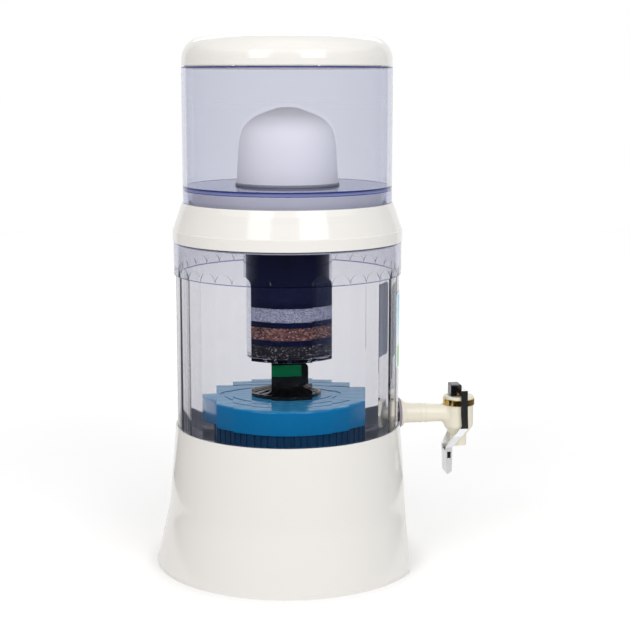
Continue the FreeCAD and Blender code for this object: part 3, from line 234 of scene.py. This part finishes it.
def grains(name, stops, roughness=0.45):
    """Loose media: each grain has its own shade, with fine specks on it."""
    tree = Tree(name)
    own = tree.add("NewGeometry").outputs["Random Per Island"]
    shade = tree.ramp(own, stops)
    speck = tree.noise(2600.0, 2.0)
    dull = tree.add("Mix", {"Factor": tree.spread(speck, 0.0, 0.5, 0.45, 0.7)},
                    data_type="RGBA", blend_type="MULTIPLY")
    tree.feed(dull.inputs[6], shade)
    tree.feed(dull.inputs[7], (0.35, 0.35, 0.38, 1.0))
    gloss = tree.spread(own, roughness * 0.6, roughness * 1.3)
    return tree.show(tree.add("BsdfPrincipled", {
        "Base Color": dull.outputs[2], "Roughness": gloss,
        "Normal": tree.bump(speck, 0.3, 0.0001)}).outputs[0])


BORDER_SIDE = 0.9
BORDER_END = 0.945


def printed_label(name, low, high):
    """Film with sky over a green slope, inside a pale border; it has no words."""
    tree = Tree(name)
    middle = [(low[k] + high[k]) / 2 for k in range(3)]
    half = [(high[k] - low[k]) / 2 for k in range(3)]
    centred = tree.add("VectorMath", {0: tree.place(), 1: middle}, operation="SUBTRACT")
    axes = tree.add("SeparateXYZ", {0: centred.outputs[0]})
    across = tree.math("DIVIDE", axes.outputs[1], half[1])
    up = tree.math("DIVIDE", axes.outputs[2], half[2])
    sky = tree.ramp(tree.spread(up, 0.0, 1.0, -1.0, 1.0), [
        (0.35, rgb(236, 246, 248)), (0.6, rgb(150, 214, 232)), (1.0, rgb(84, 176, 214))])
    wave = tree.spread(tree.noise(30.0, 2.0), -0.06, 0.06, 0.3, 0.7)
    slope = tree.math("ADD", tree.math("MULTIPLY", across, 0.5), wave)
    under = tree.math("SUBTRACT", slope, up)
    green = tree.ramp(tree.spread(under, 0.0, 1.0, 0.0, 1.1), [
        (0.0, rgb(170, 214, 96)), (0.2, rgb(98, 186, 76)), (1.0, rgb(24, 126, 84))])
    ground = tree.spread(under, 0.0, 1.0, -0.02, 0.02)
    picture = tree.mix(ground, sky, green)
    side = tree.math("GREATER_THAN", tree.math("ABSOLUTE", across), BORDER_SIDE)
    ends = tree.math("GREATER_THAN", tree.math("ABSOLUTE", up), BORDER_END)
    border = tree.math("MAXIMUM", side, ends)
    print_colour = tree.mix(border, picture, rgb(206, 232, 238))
    flat = tree.add("VectorMath", {0: tree.place(), 1: (1.0, 1.0, 0.0)}, operation="MULTIPLY")
    facing = tree.add("VectorMath", {0: flat.outputs[0],
                                     1: tree.add("NewGeometry").outputs["Normal"]},
                      operation="DOT_PRODUCT").outputs["Value"]
    print_colour = tree.mix(tree.math("GREATER_THAN", facing, 0.0), rgb(226, 230, 240),
                            print_colour)
    gloss = tree.spread(tree.noise(50.0, 2.0), 0.16, 0.3, 0.3, 0.7)
    return tree.show(tree.add("BsdfPrincipled", {
        "Base Color": print_colour, "Roughness": gloss,
        "Normal": tree.bump(tree.noise(1500.0), 0.1, 0.00002)}).outputs[0])


def span(name):
    """A node's lowest and highest corners in the frame."""
    corners = np.array([nodes[name].matrix_world @ Vector(c) for c in nodes[name].bound_box])
    return corners.min(axis=0), corners.max(axis=0)


floor_low = span("dome_washer")[0][2]
rim_level = span("collar")[0][2] + 3.0 * MM
upper_radius, _, upper_top = span("upper_tank")[1]
rim_start = upper_radius - 4.0 * MM
FLOOR_TINT = (0.26, 0.3, 0.56, 1.0)
# Painted shade colour for the dark lines round the rim of the upper tank's floor.
PAINTED_RIM_SHADE = (0.03, 0.04, 0.16, 1.0)
# Painted shade colour for the dark lines at the lower tank's step and just under the collar.
PAINTED_LINE_SHADE = (0.3, 0.32, 0.48, 1.0)
# Painted shade colour for the dark seam line just under the lid.
PAINTED_SEAM_SHADE = (0.05, 0.06, 0.2, 1.0)
ABSORB = (0.5, 0.53, 0.74, 1.0)
LOWER_ABSORB = (0.5, 0.52, 0.68, 1.0)
HOUSING_ABSORB = (0.35, 0.4, 0.7, 1.0)
STEP_LEVEL = 329.5 * MM
HANDLE_TOP = 138 * MM
SATIN = 0.5

white = moulded("white_plastic", rgb(230, 228, 224), 0.11, vary=0.006)
cream = moulded("cream_plastic", rgb(237, 231, 213), 0.3, vary=0.02)
tank_clear = clear("tank_clear", (0.945, 0.942, 0.94, 1), LOWER_ABSORB, 75.0, tint_and_painted_shade_bands=[
    # Painted shade: a dark line at the step and another just under the collar's edge.
    (STEP_LEVEL - 0.7 * MM, STEP_LEVEL + 0.5 * MM, 0.0, PAINTED_LINE_SHADE, 0.0),
    (rim_level - 1.6 * MM, rim_level + MM, 0.0, PAINTED_LINE_SHADE, 0.0)])
upper_clear = clear("upper_clear", (0.965, 0.968, 0.98, 1), ABSORB, 88.0, tint_and_painted_shade_bands=[
    (floor_low - 4.4 * MM, floor_low + 0.1 * MM, 0.0, FLOOR_TINT, 0.5),
    # Painted shade: dark lines round the rim of the floor, at its top and below it.
    (floor_low - 1.5 * MM, floor_low + 0.1 * MM, rim_start, PAINTED_RIM_SHADE, 0.95),
    (floor_low - 5.0 * MM, floor_low - 4.2 * MM, rim_start, PAINTED_RIM_SHADE, 0.6),
    # Painted shade: a dark seam line at the tank's rim, just under the lid.
    (upper_top - 1.8 * MM, upper_top + MM, 0.0, PAINTED_SEAM_SHADE, 0.9)])
housing_clear = clear("housing_clear", (0.95, 0.955, 0.97, 1), HOUSING_ABSORB, 60.0)
ceramic = moulded("ceramic", rgb(255, 254, 255), 0.6, grain=1600.0, vary=0.01, depth=0.00006)
grey_rubber = moulded("grey_rubber", rgb(150, 150, 156), 0.5, vary=0.05)
DULL = {"Specular IOR Level": 0.2}
navy = moulded("navy_plastic", rgb(6, 20, 60), 0.3, vary=0.15, **DULL)
carbon = moulded("carbon", rgb(3, 22, 70), 0.5, grain=700.0, vary=0.3, depth=0.0003, **DULL)
ribbed_navy = moulded("dish_navy", rgb(24, 70, 108), 0.3, vary=0.1, **DULL)
black = moulded("black_plastic", rgb(12, 12, 15), 0.22, vary=0.2)
blue = fan_plastic("blue_plastic", rgb(0, 124, 182), rgb(70, 164, 208), 0.14)
gasket = moulded("gasket", rgb(150, 140, 152), 0.5, vary=0.05)
green = moulded("green_window", rgb(0, 134, 80), 0.1, vary=0.1, **{"Transmission Weight": 0.3})
chrome = metal("chrome", (0.88, 0.885, 0.9, 1), 0.05)
lever_chrome = metal("lever_chrome", (0.88, 0.885, 0.9, 1), 0.05, satin_below=HANDLE_TOP)
brass = metal("brass_ring", (0.62, 0.42, 0.15, 1), 0.1)
steel = metal("spring_steel", (0.6, 0.6, 0.62, 1), 0.2)
label = printed_label("label_film", *span("front_label"))
grey_film = moulded("grey_film", rgb(110, 112, 134), 0.3, vary=0.05)
silica = grains("silica_grains", [
    (0.0, rgb(150, 152, 170)), (0.5, rgb(204, 206, 222)), (0.9, rgb(238, 239, 248)),
    (1.0, rgb(254, 254, 255))])
zeolite = grains("zeolite_grains", [
    (0.0, rgb(60, 38, 42)), (0.4, rgb(134, 92, 84)), (0.75, rgb(186, 130, 112)),
    (1.0, rgb(236, 200, 184))])
mineral = grains("mineral_grains", [
    (0.0, rgb(12, 14, 22)), (0.6, rgb(38, 38, 48)), (0.86, rgb(92, 84, 88)),
    (1.0, rgb(196, 186, 178))])

LOOKS = {
    white: ["stand", "collar", "support_ring", "lid"],
    cream: ["tap_body", "tap_bonnet", "tap_nut"],
    tank_clear: ["lower_tank"],
    upper_clear: ["upper_tank"],
    housing_clear: ["cartridge_housing", "cartridge_base"],
    ceramic: ["ceramic_dome"],
    grey_rubber: ["dome_foot", "dome_washer", "outlet_washer", "cartridge_seal", "lock_nut"],
    navy: ["cartridge_cap", "divider_lower", "divider_middle", "divider_upper"],
    carbon: ["carbon_block"],
    ribbed_navy: ["dish_base"],
    black: ["dish_hub", "hub_knob", "lever_block", "lever_insert"],
    blue: ["dish_cover"],
    mineral: ["mineral_fill", "mineral_bed"],
    zeolite: ["zeolite_bed"],
    silica: ["silica_bed"],
    gasket: ["tap_gasket_outer", "tap_gasket_inner", "valve_seal"],
    green: ["hub_lens"],
    chrome: ["valve_stem"],
    lever_chrome: ["lever"],
    brass: ["bonnet_ring", "lever_pin"],
    steel: ["valve_spring"],
    label: ["front_label"],
}
for look, names in LOOKS.items():
    for name in names:
        data = nodes[name].data
        data.materials.clear()
        data.materials.append(look)


# Pieces made in mesh code

def piece(name, points, faces, look, body, smooth=True):
    """One object that rides a body."""
    mesh = bpy.data.meshes.new(name)
    mesh.from_pydata([tuple(p) for p in points], [], faces)
    mesh.materials.append(look)
    mesh.polygons.foreach_set("use_smooth", [smooth] * len(mesh.polygons))
    mesh.update()
    made = bpy.data.objects.new(name, mesh)
    bpy.context.scene.collection.objects.link(made)
    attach(made, body)
    return made


def lathe(profile, steps):
    """Points and faces of a profile of (radius, height) turned round the axis."""
    points = []
    faces = []
    count = len(profile)
    for step in range(steps):
        turn = math.tau * step / steps
        for radius, height in profile:
            points.append((radius * math.cos(turn), radius * math.sin(turn), height))
        for k in range(count):
            here = step * count
            onward = (step + 1) % steps * count
            after = (k + 1) % count
            faces.append((here + k, onward + k, onward + after, here + after))
    return points, faces


GOLDEN = (1 + math.sqrt(5)) / 2
LONGEST_EDGE = 1.06


def grain_shape():
    """A twenty-sided grain's points and faces."""
    points = []
    for a in (-1, 1):
        for b in (-GOLDEN, GOLDEN):
            points += [(0, a, b), (a, b, 0), (b, 0, a)]
    points = np.array(points) / math.hypot(1, GOLDEN)
    faces = []
    for i in range(12):
        for j in range(i + 1, 12):
            for k in range(j + 1, 12):
                corner = points[[i, j, k]]
                sides = [np.linalg.norm(corner[m] - corner[m - 1]) for m in range(3)]
                if max(sides) < LONGEST_EDGE:
                    outward = np.dot(np.cross(corner[1] - corner[0], corner[2] - corner[0]),
                                     corner.sum(axis=0)) > 0
                    faces.append((i, j, k) if outward else (i, k, j))
    return points, np.array(faces)


def bed(name, size, look, seed):
    """A packed bed: grains against the clear housing, round a plain core of the same media."""
    low, high = span(name)
    radius = high[0]
    chance = np.random.default_rng(seed)
    shape, sides = grain_shape()
    ring = radius - size * 0.5
    rows = max(2, round((high[2] - low[2]) / (size * 0.72)))
    across = round(math.tau * ring / (size * 0.82))
    points, faces = lathe([(size, low[2]), (radius - size * 0.8, low[2]),
                           (radius - size * 0.8, high[2]), (size, high[2])], 96)
    blocks = [np.array(points)]
    sets = [list(f) for f in faces]
    total = len(points)
    for row in range(rows):
        level = low[2] + size * 0.5 + (high[2] - low[2] - size) * row / (rows - 1)
        for step in range(across):
            half = size * chance.uniform(0.42, 0.6)
            turn = math.tau * (step + 0.5 * (row % 2) + chance.uniform(-0.3, 0.3)) / across
            reach = radius - half * 1.02 - chance.uniform(0, size * 0.25)
            height = level + chance.uniform(-0.25, 0.25) * size
            height = min(max(height, low[2] + half), high[2] - half)
            spin, _ = np.linalg.qr(chance.normal(size=(3, 3)))
            squash = chance.uniform(0.7, 1.0, 3)
            grain = (shape * squash * half) @ spin.T
            grain += (reach * math.cos(turn), reach * math.sin(turn), height)
            blocks.append(grain)
            flip = np.linalg.det(spin) < 0
            turned = sides[:, ::-1] if flip else sides
            sets.extend((turned + total).tolist())
            total += len(grain)
    made = piece(name + "_grains", np.concatenate(blocks), sets, look, "upper_tank", smooth=False)
    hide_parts(name)


bed("silica_bed", 1.7 * MM, silica, seed=3)
bed("zeolite_bed", 2.2 * MM, zeolite, seed=5)
bed("mineral_bed", 2.0 * MM, mineral, seed=7)


TAB_STEPS = 8


def label_tab():
    """Grey rounded tab of film under the printed label."""
    low, high = span("front_label")
    radius = high[0] - 0.02 * MM
    half = 16 * MM
    drop = 21 * MM
    corner = 7 * MM
    thick = 0.25 * MM
    right = [(half, low[2])]
    for k in range(TAB_STEPS + 1):
        turn = math.pi / 2 * k / TAB_STEPS
        right.append((half - corner + corner * math.cos(turn),
                      low[2] - drop + corner - corner * math.sin(turn)))
    left = [(-y, z) for y, z in reversed(right)]
    edge = right + left
    points = []
    for reach in (radius, radius - thick):
        for y, z in edge:
            points.append((math.sqrt(reach * reach - y * y), y, z))
    count = len(edge)
    strips = len(right)
    faces = []
    for k in range(strips - 1):
        mirror = count - 1 - k
        faces.append((k, k + 1, mirror - 1, mirror))
        faces.append((count + k, count + mirror, count + mirror - 1, count + k + 1))
    for k in range(count):
        after = (k + 1) % count
        faces.append((k, count + k, count + after, after))
    made = piece("label_tab", points, faces, grey_film, "lower_tank", smooth=False)


label_tab()


# Floor, world and lamps

FLOOR_GLOW = (0.24, 0.36)
FLOOR_GLOW_DEPTH = (-0.2, 1.6)
FAR_GLOW = 0.118
FAR_GLOW_DEPTH = (1.6, 4.2)
# Painted shadow round the stand's foot: the ring it spans and how far the glow dims there.
PAINTED_SHADOW_REACH = (0.14, 0.165)
PAINTED_SHADOW_LEVEL = 0.55
CARD_TURN = 140
CARD_SHADE = (0.015, 0.04)
CARD_GLOW = 0.55
CARD_FADE = (-0.6, 2.4)
LAMP_AIM = 0.3
WORLD_FILL = 0.66


def make_floor():
    """Pale floor that keeps the object's shadow, with a painted contact shadow where its glow
    dims round the stand's foot.
    """
    tree = Tree("floor")
    speck = tree.spread(tree.noise(3.0, 2.0), 0.0, 1.0, 0.3, 0.7)
    paint = tree.add("BsdfDiffuse", {"Color": tree.mix(speck, (0.78, 0.78, 0.775, 1),
                                                       (0.8, 0.8, 0.8, 1))})
    glow = tree.add("Emission", {"Color": (1, 1, 1, 1)})
    path = tree.add("LightPath")
    seen = tree.math("MAXIMUM", path.outputs["Is Camera Ray"],
                     tree.math("MAXIMUM", path.outputs["Is Glossy Ray"],
                               path.outputs["Is Transmission Ray"]))
    depth = tree.add("VectorMath", {0: tree.place(), 1: tuple(ahead)},
                     operation="DOT_PRODUCT").outputs["Value"]
    strength = tree.math("ADD", tree.spread(depth, *FLOOR_GLOW, *FLOOR_GLOW_DEPTH),
                         tree.spread(depth, 0.0, FAR_GLOW, *FAR_GLOW_DEPTH))
    away = tree.add("VectorMath", {0: tree.place()}, operation="LENGTH").outputs["Value"]
    around = tree.spread(away, FLOOR_GLOW[0], FLOOR_GLOW[1] + FAR_GLOW, *FAR_GLOW_DEPTH)
    strength = tree.math("MAXIMUM", strength, around)
    # Painted shadow: the glow dims in a ring round the stand's foot, drawing a contact shadow.
    strength = tree.math("MULTIPLY", strength, tree.spread(away, PAINTED_SHADOW_LEVEL, 1.0, *PAINTED_SHADOW_REACH))
    tree.links.new(tree.math("MULTIPLY", seen, strength), glow.inputs["Strength"])
    both = tree.add("AddShader", {0: paint.outputs[0], 1: glow.outputs[0]})
    bpy.ops.mesh.primitive_plane_add(size=60.0)
    floor = bpy.context.object
    floor.name = "floor"
    floor.data.materials.append(tree.show(both.outputs[0]))


def make_world():
    """White where the camera, metal and glass see it, and a plain fill for the rest."""
    world = bpy.data.worlds.new("studio")
    bpy.context.scene.world = world
    world.use_nodes = True
    found = world.node_tree.nodes
    links = world.node_tree.links
    found.clear()
    path = found.new("ShaderNodeLightPath")
    seen = path.outputs["Is Camera Ray"]
    for name in ("Is Glossy Ray", "Is Transmission Ray"):
        either = found.new("ShaderNodeMath")
        either.operation = "MAXIMUM"
        links.new(seen, either.inputs[0])
        links.new(path.outputs[name], either.inputs[1])
        seen = either.outputs[0]
    strength = found.new("ShaderNodeMapRange")
    strength.inputs["To Min"].default_value = WORLD_FILL
    strength.inputs["To Max"].default_value = 1.0
    links.new(seen, strength.inputs["Value"])
    sky = found.new("ShaderNodeBackground")
    links.new(strength.outputs["Result"], sky.inputs["Strength"])
    sky.inputs["Color"].default_value = (1, 1, 1, 1)
    output = found.new("ShaderNodeOutputWorld")
    links.new(sky.outputs[0], output.inputs["Surface"])


def softbox(name, around, height, reach, width, tall, radiance, colour=(1, 1, 1)):
    """A soft lamp that faces the object, at an angle round it from the camera's side."""
    data = bpy.data.lights.new(name, "AREA")
    data.shape = "RECTANGLE"
    data.size = width
    data.size_y = tall
    data.energy = radiance * math.pi * width * tall
    data.color = colour
    lamp = bpy.data.objects.new(name, data)
    turn = math.radians(around)
    flat = -ahead * math.cos(turn) + aside * math.sin(turn)
    lamp.location = flat * reach + Vector((0, 0, height))
    aim = Vector((0, 0, LAMP_AIM)) - lamp.location
    lamp.rotation_euler = aim.to_track_quat("-Z", "Y").to_euler()
    bpy.context.scene.collection.objects.link(lamp)


def dark_card(name, near, far, low, high):
    """A card round the camera's side of the studio, which only mirrored rays meet."""
    tree = Tree(name)
    depth = tree.add("VectorMath", {0: tree.place(), 1: tuple(ahead)},
                     operation="DOT_PRODUCT").outputs["Value"]
    shade = tree.spread(tree.noise(1.0), *CARD_SHADE)
    strength = tree.math("ADD", shade, tree.spread(depth, 0.0, CARD_GLOW, *CARD_FADE))
    glow = tree.add("Emission", {"Color": (1, 1, 1, 1), "Strength": strength})
    mirrored = tree.math("GREATER_THAN", tree.add("LightPath").outputs["Glossy Depth"], 0.5)
    tree.show(tree.add("MixShader", {0: mirrored, 1: tree.add("BsdfTransparent").outputs[0],
                                     2: glow.outputs[0]}).outputs[0])
    mesh = bpy.data.meshes.new(name)
    points = []
    for around in range(-CARD_TURN, CARD_TURN + 1, 10):
        turn = math.radians(around)
        flat = -ahead * math.cos(turn) + aside * math.sin(turn)
        points += [flat * near + Vector((0, 0, low)), flat * far + Vector((0, 0, high))]
    faces = [(n, n + 2, n + 3, n + 1) for n in range(0, len(points) - 2, 2)]
    mesh.from_pydata(points, [], faces)
    mesh.materials.append(tree.material)
    card = bpy.data.objects.new(name, mesh)
    bpy.context.scene.collection.objects.link(card)
    card.visible_camera = card.visible_diffuse = card.visible_shadow = False


place_camera()
make_floor()
make_world()
dark_card("dark_wall", 3.2, 3.2, 0.0, 2.2)
dark_card("dark_floor", 0.45, 3.2, 0.002, 0.002)
softbox("softbox_left", -29, 1.5, 2.3, 0.95, 1.5, 3.6, (1.0, 0.95, 0.91))
softbox("softbox_right", 29, 1.5, 2.3, 1.2, 1.5, 3.55)
softbox("softbox_top", 0, 2.6, 0.6, 1.6, 1.6, 0.4)
softbox("softbox_back", 180, 1.9, 2.4, 2.2, 1.0, 1.6)
bpy.context.scene.view_settings.view_transform = "Standard"
